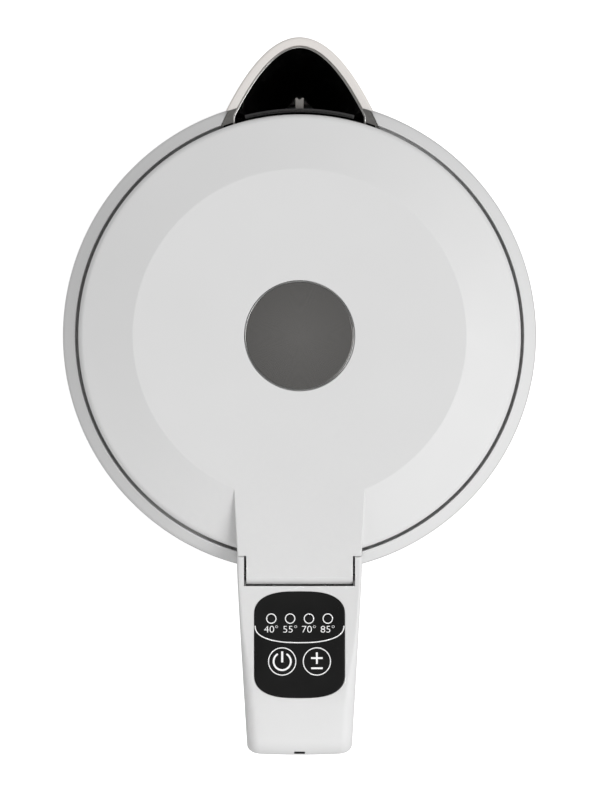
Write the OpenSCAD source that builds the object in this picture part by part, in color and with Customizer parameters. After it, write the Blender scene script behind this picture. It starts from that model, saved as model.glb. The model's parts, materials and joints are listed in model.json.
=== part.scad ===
// Cordless electric kettle on a 360 degree power base.
// Frame: origin on the kettle's axis at the table, +Z up, spout towards +Y, handle towards -Y.

/* [Body] */
// Height of the flat top of the lid and of the handle above the table
top_z = 222; // [216:1:228]
// Outer radius of the shell just under the collar
shell_top_r = 76.8; // [76.7:0.1:77]
// Outer radius of the shell near its foot
shell_foot_r = 79; // [78.6:0.1:79.6]
// Wall of the outer shell
shell_wall = 1.8; // [1.6:0.1:1.9]
// Height of the jug's underside above the table
jug_z = 18.6; // [18:0.2:19]
// Outer radius of the steel pot
pot_r = 70; // [69.8:0.1:70.1]
// Wall of the steel pot
pot_wall = 0.8; // [0.6:0.1:1]
// Height of the pot's bottom
pot_z = 52; // [51:1:56]

/* [Base] */
// Outer radius of the power base
base_r = 74; // [72:0.5:75]
// Height of the power base's top face
base_top_z = 17; // [16:0.5:17.5]
// Radius of the connector post
post_r = 16; // [14:0.5:17]

/* [Lid] */
// Radius of the flat top of the lid
lid_flat_r = 54.25; // [50:0.25:58]
// Outer radius of the lid
lid_r = 72; // [71.6:0.1:72]
// Drop of the sloping ring from the flat top to the lid's edge
lid_drop = 5; // [4:0.5:6]
// Radius of the round badge in the middle of the lid
badge_r = 18; // [14:0.5:24]
// Half width of the tongue where it leaves the lid
tongue_front_w = 21.45; // [20.8:0.05:22]
// Half width of the tongue at the handle
tongue_rear_w = 20.2; // [19.8:0.05:20.4]
// Half width of the tail inside the handle
tail_w = 17.35; // [16.5:0.05:17.6]

/* [Spout] */
// Distance of the spout's tip from the axis
spout_tip = 97.2; // [94:0.1:99]
// Nose radius of the spout's rim
spout_nose_r = 12; // [10:0.5:14]
// Width of the rim, with cover and liner together
spout_rim = 3.6; // [3.2:0.1:3.8]
// Height of the spout below its rim
spout_h = 85; // [80:1:95]

/* [Handle] */
// Distance of the handle's end from the axis
handle_end = 136.5; // [134:0.1:138]
// Half width of the handle where it meets the body
handle_root_w = 20.5; // [20.4:0.1:21]
// Half width of the handle at its end
handle_end_w = 17.1; // [16.8:0.1:18]
// Wall of the handle's mouldings
handle_wall = 2.2; // [2:0.1:2.6]

/* [Controls] */
// Half width of the control panel
panel_w = 14.75; // [14:0.05:15]
// Radius of a button
button_r = 4.65; // [4:0.05:4.7]
// Distance of each button from the middle of the handle
button_x = 5.64; // [5.2:0.02:6]
// Button travel
button_travel = 0.5; // [0.3:0.1:0.6]
// Distance between neighbouring temperature lights
light_pitch = 6.12; // [5:0.02:6.4]

/* [Hidden] */
$fn = 96;
fit = 0.1;                             // gap between mouldings of one body
run = 0.3;                             // gap between moving bodies
hinge_y = -76.5;                       // lid hinge axis
barrel_r = 4.3;                        // barrel at the end of the lid's tongue
hinge_z = top_z - barrel_r;
pin_r = 1.5;
spring_w = 5.6;                        // half width of the spring's room in the barrel
lid_edge_z = top_z - lid_drop;         // top of the lid's edge
skirt_z = top_z - 12.5;                // bottom of the lid's skirt
lid_wall = 2.2;
collar_r = 76.5;                       // outer radius of the collar
collar_in_r = 73;                      // inner radius of the collar, round the lid
collar_top_z = top_z - 9;
collar_low_z = top_z - 12.4;           // foot of the collar's slope
shell_top_z = top_z - 14.5;
ledge_z = top_z - 13.2;                // ledge of the collar over the pot's flange
flange_z = ledge_z - 3;                // top of the pot's flange
rim_z = top_z - 10;                    // top of the spout's rim
tail_end = hinge_y - barrel_r;
recess_end = tail_end - 0.6;           // rear wall of the hinge recess
recess_w = tail_w + 0.7;
recess_z = top_z - 14;                 // floor of the hinge recess
cheek_r = 6.15;                        // round front of the handle's cheeks, about the hinge
slope_y = -117;                        // where the handle's top starts to slope down
slope_a = 15;                          // slope of the handle's end
panel_y = [-83.15, -117.8];            // rear and front ends of the panel's middle line
panel_side_y = [-90.5, -110.5];        // ends of the panel's straight sides
panel_t = 1.6;
button_y = -105.9;
light_y = -91.96;
board_z = top_z - 10;                  // top of the control board
finger_z = [72, top_z - 32];           // bottom and top of the finger gap
arm_y = -60;                           // the handle's arms are drawn from here, inside the body
handle_low_z = 45.6;                   // underside of the handle's lower arm
side_a = 183.8;                        // direction square to the handle's rear face
handle_screw_z = [62, top_z - 22];
wire_z = 58;                           // where the harness passes from the jug to the handle

white = "gainsboro";
steel = "silver";
brass = "goldenrod";
black = "#202020";

// ---------- shared shapes ----------

// Points on an arc about c, from angle a0 to a1
function arc(c, r, a0, a1, n = 12) =
    [for (i = [0:n]) c + r * [cos(a0 + (a1 - a0) * i / n), sin(a0 + (a1 - a0) * i / n)]];

// A turned ring with a rectangular section
module ring(r0, r1, z0, z1) {
    rotate_extrude() translate([r0, z0]) square([r1 - r0, z1 - z0]);
}

// Three copies round the axis
module three(start = 90) {
    for (i = [0:2]) rotate([0, 0, start + 120 * i]) children();
}

function unit(v) = v / norm(v);

// A tube that follows the points, with mitred bends. No stretch may run along X.
module wire(points, r, sides = 8) {
    last = len(points) - 1;
    along = [for (i = [0:last]) unit(
        (i < last ? unit(points[i + 1] - points[i]) : [0, 0, 0]) +
        (i > 0 ? unit(points[i] - points[i - 1]) : [0, 0, 0]))];
    rings = [for (i = [0:last], j = [0:sides - 1])
        let (u = unit(cross([1, 0, 0], along[i])), v = cross(along[i], u), a = 360 * j / sides)
        points[i] + r * (cos(a) * u + sin(a) * v)];
    polyhedron(rings, concat(
        [[for (j = [0:sides - 1]) sides - 1 - j]],
        [for (i = [0:last - 1], j = [0:sides - 1], half = [0, 1])
            let (k = (j + 1) % sides, a = i * sides, b = a + sides)
            half == 0 ? [a + j, a + k, b + k] : [a + j, b + k, b + j]],
        [[for (j = [0:sides - 1]) last * sides + j]]));
}

// A pan head screw standing head down at the origin
module screw(length, r = 1.4, head_r = 2.8, head_h = 1.6) {
    difference() {
        union() {
            cylinder(r = head_r, h = head_h);
            cylinder(r = r, h = length);
        }
        for (a = [0, 90]) rotate([0, 0, a]) translate([-1.6, -0.4, -0.01]) cube([3.2, 0.8, 0.9]);
    }
}

// The region inside the pot's outer surface
module pot_space(gap = 0) {
    cylinder(r = pot_r + gap, h = top_z);
}

// The jug's body with its collar as one solid, grown by gap
module body_space(gap) {
    rotate_extrude() polygon([
        [0, 0], [shell_foot_r + gap, 0], [shell_foot_r + gap, 30],
        [shell_top_r + gap, shell_top_z], [shell_top_r + gap, collar_low_z + gap],
        [collar_in_r + gap, collar_top_z + gap], [0, collar_top_z + gap]]);
}

// ---------- power base ----------

base_screw_r = 44;
foot_r = [base_r - 14, base_r - 7];
inlet_z = 9;

module base_foot_ring() {
    color("dimgray") ring(foot_r[0], foot_r[1], 0, 3);
}

module base_bottom_cover() {
    color(white) difference() {
        union() {
            ring(0, base_r - 2.8, 1.5, 4);
            ring(base_r - 4.6, base_r - 2.8, 4, 8);
            three() translate([base_screw_r, 0, 4]) cylinder(r = 3.4, h = 3);
        }
        ring(foot_r[0], foot_r[1], 1, 3);
        three() translate([base_screw_r, 0, 1]) {
            cylinder(r = 3, h = 2.2);
            cylinder(r = 1.5, h = 8);
        }
        inlet_bore(3.6);
    }
}

// Where the cord would enter the base, under the handle
module inlet_bore(r) {
    translate([0, 14 - base_r, inlet_z]) rotate([90, 0, 0]) cylinder(r = r, h = 40);
}

module base_top_cover() {
    edge = 5;
    color(white) difference() {
        union() {
            rotate_extrude() polygon(concat(
                [[post_r + 0.2, base_top_z - 3], [post_r + 0.2, base_top_z]],
                arc([base_r - edge, base_top_z - edge], edge, 90, 0),
                [[base_r, 2.5], [base_r - 2.4, 2.5], [base_r - 2.4, base_top_z - edge]],
                arc([base_r - edge, base_top_z - edge], edge - 2.4, 0, 90),
                [[24, base_top_z - 2.4], [24, base_top_z - 3]]));
            three() translate([base_screw_r, 0, 7.2]) cylinder(r = 3.4, h = base_top_z - 2.2 - 7.2);
        }
        three() translate([base_screw_r, 0, 7]) cylinder(r = 1.2, h = 6.5);
        inlet_bore(3.6);
        // shallow dish that the jug's foot sits over
        ring(28, base_r - 12, base_top_z - 0.8, base_top_z + 1);
    }
}

module base_connector() {
    color(black) difference() {
        union() {
            translate([0, 0, 4]) cylinder(r = post_r, h = 19);
            translate([0, 0, 4]) cylinder(r = post_r + 4, h = 2);
        }
        translate([0, 0, 7]) ring(6, 8.6, 0, 20);
        translate([0, 0, 7]) ring(11, 13.4, 0, 20);
        translate([0, 0, 7]) cylinder(r = 3, h = 20);
    }
}

module base_contacts() {
    color(brass) {
        translate([0, 0, 7]) ring(6.2, 6.8, 0, 12);
        translate([0, 0, 7]) ring(12.6, 13.2, 0, 12);
        translate([0, 0, 7]) difference() {
            cylinder(r = 2.8, h = 10);
            translate([0, 0, 1]) cylinder(r = 2, h = 10);
        }
    }
}

module base_cord_inlet() {
    color(black) difference() {
        union() {
            translate([0, 8 - base_r, inlet_z]) rotate([90, 0, 0]) cylinder(r = 3.5, h = 10);
            translate([0, -base_r - 0.2, inlet_z]) rotate([90, 0, 0]) cylinder(r = 5, h = 2.4);
        }
        inlet_bore(2);
    }
}

module base_wires() {
    color("firebrick")
        for (x = [-3, 0, 3])
            wire([
                [x * 0.7, 8.2 - base_r, inlet_z], [x, -50, inlet_z],
                [x * 2, -26, inlet_z + 0.4], [x * 2, -16.6, inlet_z + 0.4]], 0.9);
}

module base_screws() {
    color(steel) three() translate([base_screw_r, 0, 1.6]) screw(10, 1.15);
}

// ---------- connector half that lifts off with the jug ----------

socket_top = 36;
contact_top = 33;
contact_r = [7.25, 11.45];             // inner radii of the two contact rings

module socket_body() {
    color(black) difference() {
        union() {
            cylinder(r = 20, h = socket_top);
            translate([0, 0, 30]) cylinder(r = 22.5, h = 2);
        }
        translate([0, 0, -1]) cylinder(r = post_r + run, h = 24.8);
        cylinder(r = 30, h = jug_z);
        // pockets for the contacts
        translate([0, 0, 20]) cylinder(r = 1.65, h = contact_top - 20);
        for (r = contact_r) ring(r - 0.05, r + 0.75, 20, contact_top);
        contact_tags() cylinder(r = 0.85, h = 6);
    }
}

// The tags that carry the wires, one on each contact
module contact_tags() {
    for (r = concat([0], contact_r + [0.35, 0.35])) translate([0, r, contact_top - 0.5]) children();
}

module socket_contacts() {
    color(brass) {
        translate([0, 0, 13]) cylinder(r = 1.6, h = contact_top - 13);
        for (r = contact_r) ring(r, r + 0.7, 14, contact_top);
        contact_tags() cylinder(r = 0.8, h = 5.5);
    }
}

// ---------- jug underside ----------

foot_screw_r = 62;
foot_cover_r = 75.6;

module foot_cover() {
    color(black) difference() {
        union() {
            rotate_extrude() polygon([
                [20.5, jug_z], [foot_cover_r - 1.6, jug_z], [foot_cover_r, jug_z + 2.4],
                [foot_cover_r, 34], [foot_cover_r - 1.8, 34], [foot_cover_r - 1.8, jug_z + 2.4],
                [26, jug_z + 2.4], [26, 28], [20.5, 28]]);
            three(30) translate([foot_screw_r, 0, jug_z + 2.3]) cylinder(r = 4, h = 5);
        }
        three(30) translate([foot_screw_r, 0, jug_z - 1]) {
            cylinder(r = 3.2, h = 3);
            cylinder(r = 1.6, h = 12);
        }
        // bare ground under the swivel
        ring(27, 60, jug_z - 1, jug_z + 0.6);
    }
}

module foot_screws() {
    color(steel) three(30) translate([foot_screw_r, 0, jug_z + 0.3]) screw(14, 1.15);
}

module socket_retainer() {
    color("ivory") difference() {
        union() {
            ring(20.5, 27.5, 33, 35);
            ring(23.2, 27.5, 28.2, 33);
        }
    }
}

module thermal_control() {
    color("saddlebrown") difference() {
        translate([0, 0, 38.5]) cylinder(r = 24, h = 6);
        for (a = [45:90:315]) rotate([0, 0, a]) translate([19, 0, 38]) cylinder(r = 1.5, h = 8);
    }
    color(steel) translate([0, 0, 44.5]) cylinder(r = 9, h = 1.9);
}

module power_board() {
    color("darkgreen") translate([30, -18, 26]) cube([30, 36, 1.6]);
    color("black") translate([32, 1, 27.6]) cube([12, 15, 7]);
    color("royalblue") translate([48, 4, 27.6]) cube([8, 10, 6]);
    color(white) translate([50, -12, 27.6]) cube([6, 8, 5]);
}

module wire_harness() {
    color("dimgray") for (x = [-1.3, 1.3])
        wire([
            [42 + x, -10, 28.8], [38 + x, -26, 30], [16 + x, -66, 31], [x, -74.2, 42],
            [x, -74.2, wire_z - 3], [x, -78, wire_z], [x, -106, wire_z + 4], [x, -116, 76],
            [x, -122, finger_z[1] - 4], [x, -112, board_z - 7], [x, -108, board_z - 2.8]], 1);
}

module bottom_bracket() {
    color(steel) difference() {
        union() {
            ring(56, 68, 42, 43.2);
            three(30) translate([foot_screw_r, 0, 26]) cylinder(r = 3.2, h = 16.1);
        }
        three(30) translate([foot_screw_r, 0, 25]) cylinder(r = 1.2, h = 10);
    }
    color(steel) three(90) translate([foot_screw_r, 0, 43.2]) cylinder(r = 3, h = 4.8);
}

element_r = 42;
element_z = 43.5;
sensor_y = 30;

module heating_element() {
    color("slategray") {
        rotate([0, 0, -60]) rotate_extrude(angle = 300)
            translate([element_r, element_z]) circle(r = 3.4, $fn = 32);
        for (a = [-56, 236]) rotate([0, 0, a])
            translate([element_r, 0, element_z - 9.5]) cylinder(r = 2.4, h = 9.5);
    }
}

module heating_plate() {
    color("lightgray") difference() {
        ring(0, 64, 48, pot_z - 0.1);
        rotate_extrude() translate([element_r, element_z]) circle(r = 3.5, $fn = 32);
        sensor_bore();
    }
}

module sensor_bore() {
    translate([0, sensor_y, 40]) cylinder(r = 2.6, h = 30);
}

module temperature_sensor() {
    color(steel) translate([0, sensor_y, 40]) cylinder(r = 2.5, h = pot_z + 6 - 40);
    color(steel) translate([0, sensor_y, pot_z + 6]) sphere(r = 2.5);
    color("ivory") translate([0, sensor_y, 38]) cylinder(r = 4, h = 4);
}

// ---------- jug body ----------

// Rim outline in plan, d inside its edge, as a parallel curve of the parabola
rim_root_y = 72.8;
rim_back_y = 60;
liner_t = 0.7;                         // steel of the spout's liner
function rim_point(u, d) =
    let (p = [u, spout_tip - u * u / (2 * spout_nose_r)],
         n = [u / spout_nose_r, 1] / norm([u / spout_nose_r, 1]))
    p - d * n;
rim_u = sqrt(2 * spout_nose_r * (spout_tip - rim_root_y));
function rim_outline(d, steps = 24) = concat(
    [[-rim_u - 0.6 + d, rim_back_y]],
    [for (i = [-steps:steps]) rim_point(rim_u * i / steps, d)],
    [[rim_u + 0.6 - d, rim_back_y]]);

// The beak: wide at the rim, drawn in to the shell at its foot
module beak(d, z_top) {
    foot = 0.42;                       // size of the beak's foot against its rim
    foot_y = 66;                       // the foot is shrunk about this point
    hull() {
        translate([0, 0, rim_z - 4]) linear_extrude(z_top - rim_z + 4) polygon(rim_outline(d));
        translate([0, 0, rim_z - spout_h]) linear_extrude(2)
            polygon([for (p = rim_outline(d)) [p[0] * foot, foot_y + (p[1] - foot_y) * foot]]);
    }
}

// Plastic cover of the beak, outside the shell
module spout_cover() {
    color("antiquewhite") difference() {
        beak(0, rim_z);
        beak(spout_rim - liner_t - 0.05, rim_z + 1);
        body_space(fit);
        cylinder(r = shell_top_r + fit, h = top_z);
    }
}

// Steel channel from the pot to the lip, with a flange in the gap of the collar
module spout_liner() {
    color(steel) difference() {
        union() {
            beak(spout_rim - liner_t, rim_z - 0.3);
            intersection() {
                translate([0, 0, rim_z - 1.3]) linear_extrude(0.8) polygon(rim_outline(0.2));
                cylinder(r = shell_top_r, h = top_z);
            }
        }
        beak(spout_rim, rim_z + 1);
        pot_space(fit);
        translate([0, 0, skirt_z - 0.5]) cylinder(r = collar_in_r - run, h = 20);
    }
}

filter_h = 22;

module inner_pot() {
    color(steel) difference() {
        rotate_extrude() polygon(concat(
            [[0, pot_z]],
            arc([pot_r - 8, pot_z + 8], 8, 270, 360),
            [[pot_r, flange_z - pot_wall], [73.2, flange_z - pot_wall], [73.2, flange_z],
             [pot_r - pot_wall, flange_z]],
            arc([pot_r - 8, pot_z + 8], 8 - pot_wall, 360, 270),
            [[0, pot_z + pot_wall]]));
        sensor_bore();
        // the mouth to the spout
        translate([-18, 0, rim_z - filter_h - 1]) cube([36, 90, 60]);
        translate([0, 0, flange_z - pot_wall - 0.5])
            linear_extrude(5) polygon(rim_outline(-0.2));
    }
}

module pot_seal() {
    color("whitesmoke") difference() {
        ring(pot_r + 0.3, 73.2, flange_z, ledge_z - 1.2);
        translate([0, 0, flange_z - 1]) linear_extrude(10) polygon(rim_outline(-0.2));
    }
}

module outer_shell() {
    color(white) difference() {
        rotate_extrude() polygon([
            [77.4, jug_z + 1.6], [shell_foot_r, 30], [shell_top_r, shell_top_z],
            [shell_top_r - shell_wall, shell_top_z], [shell_foot_r - shell_wall, 30],
            [75.8, jug_z + 1.6]]);
        beak(spout_rim - liner_t - 0.05, rim_z + 1);
        // wire hole and screw holes behind the handle's arms
        translate([0, arm_y, wire_z]) rotate([90, 0, 0]) cylinder(r = 4, h = 30);
        handle_screw_places() cylinder(r = 1.6, h = 12);
    }
}

// Each handle screw goes from inside the jug out into the handle
module handle_screw_places() {
    for (x = [-10, 10], z = handle_screw_z)
        translate([x, -72.2, z]) rotate([90, 0, 0]) children();
}

module collar() {
    color(white) difference() {
        rotate_extrude() polygon([
            [pot_r + 0.3, ledge_z], [collar_in_r, ledge_z], [collar_in_r, collar_top_z],
            [collar_r, collar_low_z], [collar_r, shell_top_z + 0.05],
            [74.8, shell_top_z + 0.05], [74.8, shell_top_z - 4], [73.6, shell_top_z - 4],
            [73.6, ledge_z - 1.2], [pot_r + 0.3, ledge_z - 1.2]]);
        // gap for the spout
        translate([0, 0, shell_top_z - 6]) linear_extrude(30) polygon(rim_outline(-0.1));
    }
}

filter_r = 72.75;                      // inner radius of the filter's frame
filter_t = 1.2;
filter_z = [rim_z - filter_h, rim_z - 0.4];
filter_half_a = 14;                    // half the filter's arc, in degrees
rib_half_a = 1.2;

module filter_arc(r0, r1, z0, z1, half_a) {
    rotate([0, 0, 90 - half_a]) rotate_extrude(angle = 2 * half_a)
        translate([r0, z0]) square([r1 - r0, z1 - z0]);
}

// The window of the frame, between two radii
module filter_window(r0, r1) {
    filter_arc(r0, r1, filter_z[0] + 3, filter_z[1] - 3.6, filter_half_a - 2.2);
}

module filter_frame() {
    color("gainsboro") {
        difference() {
            filter_arc(filter_r, filter_r + filter_t, filter_z[0], filter_z[1], filter_half_a);
            filter_window(filter_r - 1, filter_r + 2.6);
        }
        // tab to pull the filter out by
        filter_arc(filter_r + 0.2, 77.4, rim_z - 16, rim_z - 3.5, rib_half_a - 0.2);
        filter_arc(filter_r + 0.1, filter_r + 1.1, filter_z[0] + 2, rim_z - 3, rib_half_a);
    }
}

module filter_mesh() {
    color(steel) difference() {
        filter_window(filter_r + 0.45, filter_r + 0.8);
        filter_arc(filter_r - 1, filter_r + 2.6, filter_z[0], rim_z, rib_half_a + 0.1);
    }
}

// ---------- handle ----------

// Side outline of the handle, d inside its surface
function handle_side(d) = concat(
    [[arm_y, top_z - d]],
    arc([slope_y + 2, top_z - 20], 20 - d, 90, 90 + slope_a),
    arc([8.2 - handle_end, top_z - 11.9], 8.2 - d, 90 + slope_a, side_a),
    arc([25.5 - handle_end, handle_low_z + 20.4], 16 - d, side_a, 275),
    [[arm_y, handle_low_z + d]]);

// Side outline of the finger gap, grown by d
function finger_gap(d) = concat(
    [[arm_y, finger_z[1] + d]],
    arc([-102.6, finger_z[1] - 9], 9 + d, 90, side_a),
    arc([-95.4, finger_z[0] + 12], 9 + d, side_a, 268),
    [[arm_y, finger_z[0] - d]]);

// Plan outline of the handle, d inside its surface
handle_corner = 4.2;
handle_mid = [18.95, -102.3];          // half width at the middle of the handle
function handle_plan(d) = let (
        half = concat(
            [[handle_root_w - d, arm_y], [handle_root_w - 0.2 - d, -78], handle_mid - [d, 0]],
            arc([handle_end_w - handle_corner, handle_corner - handle_end + 0.8],
                handle_corner - d, -4, -86),
            // the end bows out between the corners
            [[handle_end_w / 2, d - handle_end], [handle_end_w / 4, d - handle_end - 0.25]]))
    concat(half, [for (i = [len(half) - 1:-1:0]) [-half[i][0], half[i][1]]]);

// A side outline made into a slab across the handle
module across(points) {
    rotate([90, 0, 90]) translate([0, 0, -30]) linear_extrude(60) polygon(points);
}

module handle_block(d) {
    intersection() {
        across(handle_side(d));
        linear_extrude(top_z + 1) polygon(handle_plan(d));
    }
}

// Plan outline of the control panel, grown by d
function panel_outline(d) = let (
        x = panel_w + d,
        b0 = panel_side_y[0], b1 = panel_side_y[1],
        e0 = panel_y[0] + d, e1 = panel_y[1] - d)
    concat(
        [[x, b1]], [[x, b0]],
        [for (i = [1:11]) let (a = i * 15)
            [sign(cos(a)) * x * pow(abs(cos(a)), 0.68), b0 + (e0 - b0) * pow(sin(a), 0.91)]],
        [[-x, b0]], [[-x, b1]],
        [for (i = [1:11]) let (a = 180 + i * 15)
            [sign(cos(a)) * x * pow(abs(cos(a)), 0.68), b1 + (e1 - b1) * pow(-sin(a), 0.91)]]);

module panel_plate(d, z0, z1) {
    translate([0, 0, z0]) linear_extrude(z1 - z0) polygon(panel_outline(d));
}

module hinge_axis(r, half_w) {
    translate([-half_w, hinge_y, hinge_z]) rotate([0, 90, 0]) cylinder(r = r, h = 2 * half_w);
}

module handle_shell() {
    color(white) difference() {
        union() {
            difference() {
                handle_block(0);
                across(finger_gap(0));
                handle_cavity();
            }
            // walls of the hinge recess
            intersection() {
                handle_block(0);
                translate([-19, recess_end - 1.6, recess_z - 3]) cube([38, 14, 30]);
            }
            // bosses for the screws, and the webs that hold them
            intersection() {
                handle_block(1);
                difference() {
                    union() {
                        handle_screw_places() translate([0, 0, 4]) cylinder(r = 3.4, h = 14);
                        for (z = handle_screw_z) translate([-20, -86, z - 16]) cube([40, 2.5, 34]);
                    }
                    across(finger_gap(handle_wall + fit));
                    translate([0, -80, wire_z]) rotate([90, 0, 0]) cylinder(r = 4, h = 12);
                }
            }
        }
        // the hinge recess, open towards the lid
        translate([-recess_w, recess_end, recess_z]) cube([2 * recess_w, 30, 30]);
        // cheeks: round in front about the hinge
        difference() {
            translate([-30, hinge_y, hinge_z - cheek_r]) cube([60, 30, 30]);
            hinge_axis(cheek_r, 40);
        }
        hinge_axis(pin_r + 0.05, recess_w + 1.5);
        // the body and its lid
        body_space(run);
        // seat and window of the control panel
        panel_plate(0.1, top_z - panel_t, top_z + 1);
        // slot in the handle's end
        translate([-1.75, 0.4 - handle_end, top_z - 16]) cube([3.5, 0.7, 20]);
        translate([-11.5, -112, board_z - 10]) cube([23, 24.5, 30]);
        handle_screw_places() cylinder(r = 1.2, h = 16);
    }
}

module handle_cavity() {
    difference() {
        handle_block(handle_wall);
        // strip between the hinge recess and the panel
        translate([-30, recess_end - 1.6, recess_z - 2]) cube([60, 40, 30]);
    }
}

module handle_inner_cover() {
    color(white) difference() {
        intersection() {
            across(finger_gap(handle_wall));
            linear_extrude(top_z) polygon(handle_plan(handle_wall + fit));
            across(handle_side(handle_wall + 1));
        }
        across(finger_gap(0));
        body_space(run);
    }
}

module handle_screws() {
    color(steel) handle_screw_places() screw(14, 1.15, 2.6, 1.4);
}

module control_panel() {
    color(black) difference() {
        panel_plate(0, top_z - panel_t + 0.02, top_z);
        for (x = [-button_x, button_x])
            translate([x, button_y, top_z - 5]) cylinder(r = button_r + 0.07, h = 10);
        light_places() translate([0, 0, -5]) cylinder(r = 1.25, h = 10);
    }
}

module light_places() {
    for (i = [-1.5:1:1.5]) translate([i * light_pitch, light_y, top_z]) children();
}

module indicator_lights() {
    color("whitesmoke") light_places()
        translate([0, 0, board_z - top_z]) cylinder(r = 1.2, h = top_z - board_z);
}

module control_board() {
    color("darkgreen") translate([-13, -113, board_z - 1.6]) cube([26, 26.5, 1.6]);
    color("black") translate([-5, -100.5, board_z - 3.4]) cube([10, 7, 1.8]);
}

module button_switches() {
    color(steel) for (x = [-button_x, button_x])
        translate([x, button_y, board_z]) {
            translate([-3, -3, 0]) cube([6, 6, 3.5]);
            translate([0, 0, 3.5]) cylinder(r = 1.7, h = 1.4);
        }
}

module hinge_pin() {
    color(steel) hinge_axis(pin_r, recess_w + 1.4);
}

module hinge_spring() {
    color(steel) {
        for (i = [-4:4]) translate([i * 1.05, hinge_y, hinge_z]) rotate([0, 90, 0])
            rotate_extrude($fn = 32) translate([2.3, 0]) circle(r = 0.5, $fn = 16);
        // the leg that rests on the collar
        translate([-4.2, hinge_y + 2.3, collar_top_z + 0.2])
            cylinder(r = 0.4, h = hinge_z - collar_top_z - 0.2);
    }
}

// ---------- lid ----------

tongue_y = [-50.3, -71.8];             // front and rear ends of the tongue's sides
lid_outline = concat(
    [[0, top_z], [lid_flat_r, top_z]],
    arc([lid_r - 2.4, lid_edge_z - 2.2], 2.4, 72, 0, 8),
    [[lid_r, skirt_z], [0, skirt_z]]);

module lid_top() {
    color(white) difference() {
        union() {
            difference() {
                union() {
                    rotate_extrude() polygon(lid_outline);
                    tongue();
                }
                // hollow underside
                rotate_extrude() polygon(concat(
                    [[0, skirt_z - 1], [0, top_z - lid_wall], [lid_flat_r - 0.4, top_z - lid_wall],
                     [lid_r - 3.6, lid_edge_z - lid_wall], [lid_r - lid_wall, lid_edge_z - 4],
                     [lid_r - lid_wall, skirt_z - 1]]));
            }
            tail();
            lid_screw_places() translate([0, 0, skirt_z + 1.2]) cylinder(r = 3.2, h = 9.5);
        }
        hinge_axis(pin_r + 0.06, 30);
        // room for the spring
        hinge_axis(3.1, spring_w);
        translate([-spring_w, hinge_y - 6, hinge_z - 8]) cube([2 * spring_w, 10, 8]);
        lid_screw_places() translate([0, 0, skirt_z]) cylinder(r = 1.2, h = 8);
        // seat of the badge
        translate([0, 0, top_z - 1.2]) cylinder(r = badge_r, h = 2);
        // round clearance for the handle's cheeks
        for (s = [-1, 1]) translate([s * 30, 0, 0])
            intersection() {
                hinge_axis(cheek_r + run, 30 - tail_w - 0.01);
                translate([-50, hinge_y - 20, top_z - 22]) cube([100, 40, 40]);
            }
    }
}

// The level tongue from the flat top back to the hinge
module tongue() {
    half = [
        [tongue_front_w, tongue_y[0] + 4], [tongue_front_w, tongue_y[0]],
        [tongue_rear_w, tongue_y[1]], [tail_w, tongue_y[1]], [tail_w, hinge_y + 3]];
    translate([0, 0, collar_top_z + run]) linear_extrude(top_z - collar_top_z - run)
        polygon(concat(half, [for (i = [len(half) - 1:-1:0]) [-half[i][0], half[i][1]]]));
}

module tail() {
    hinge_axis(barrel_r, tail_w);
    translate([-tail_w, hinge_y, hinge_z]) cube([2 * tail_w, 6, barrel_r]);
}

module lid_screw_places() {
    for (a = [45:90:315]) rotate([0, 0, a]) translate([46, 0, 0]) children();
}

module lid_badge() {
    color("#62615e") translate([0, 0, top_z - 1.18]) cylinder(r = badge_r - 0.62, h = 1.14);
}

module lid_badge_bezel() {
    color(steel) ring(badge_r - 0.6, badge_r - 0.02, top_z - 1.18, top_z + 0.1);
}

module lid_inner_plate() {
    color(steel) difference() {
        rotate_extrude() polygon([
            [0, skirt_z - 5.5], [64, skirt_z - 5.5], [66, skirt_z - 4], [66, skirt_z + 1],
            [65, skirt_z + 1], [65, skirt_z - 3.5], [63.5, skirt_z - 4.5], [0, skirt_z - 4.5]]);
        lid_screw_places() translate([0, 0, skirt_z - 6]) cylinder(r = 1.5, h = 4);
        translate([0, -40, skirt_z - 8]) cylinder(r = 7, h = 6);
    }
    color(steel) lid_screw_places() difference() {
        translate([0, 0, skirt_z - 4.5]) cylinder(r = 3, h = 5.7);
        translate([0, 0, skirt_z - 6]) cylinder(r = 1.5, h = 8);
    }
}

module lid_gasket() {
    color("whitesmoke") rotate_extrude() polygon([
        [66.05, skirt_z - 3.4], [68, skirt_z - 4], [68.2, skirt_z - 3.6], [67, skirt_z - 2],
        [67, skirt_z - 0.4], [66.05, skirt_z - 0.4]]);
}

module lid_screws() {
    color(steel) lid_screw_places() translate([0, 0, skirt_z - 7.1]) screw(13, 1.15);
}

module steam_vent() {
    color("whitesmoke") translate([0, -40, 0]) difference() {
        union() {
            translate([0, 0, skirt_z - 7]) cylinder(r = 9, h = 1.5);
            translate([0, 0, skirt_z - 5.6]) cylinder(r = 6.9, h = 8);
        }
        for (x = [-4:2:4]) translate([x - 0.5, -4, skirt_z - 8]) cube([1, 8, 20]);
    }
}

// ---------- buttons ----------

module button_cap() {
    difference() {
        union() {
            translate([0, 0, top_z - 3.4]) cylinder(r = button_r, h = 3.4);
            translate([0, 0, top_z - 3.4]) cylinder(r = button_r + 0.9, h = 1);
        }
        translate([0, 0, top_z - 3.5]) cylinder(r = button_r - 1.1, h = 1.6);
    }
    translate([0, 0, top_z - 4.5]) cylinder(r = 1.6, h = 3);
}

module power_button() {
    color(black) translate([-button_x, button_y, 0]) button_cap();
}

module temp_button() {
    color(black) translate([button_x, button_y, 0]) button_cap();
}

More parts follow.
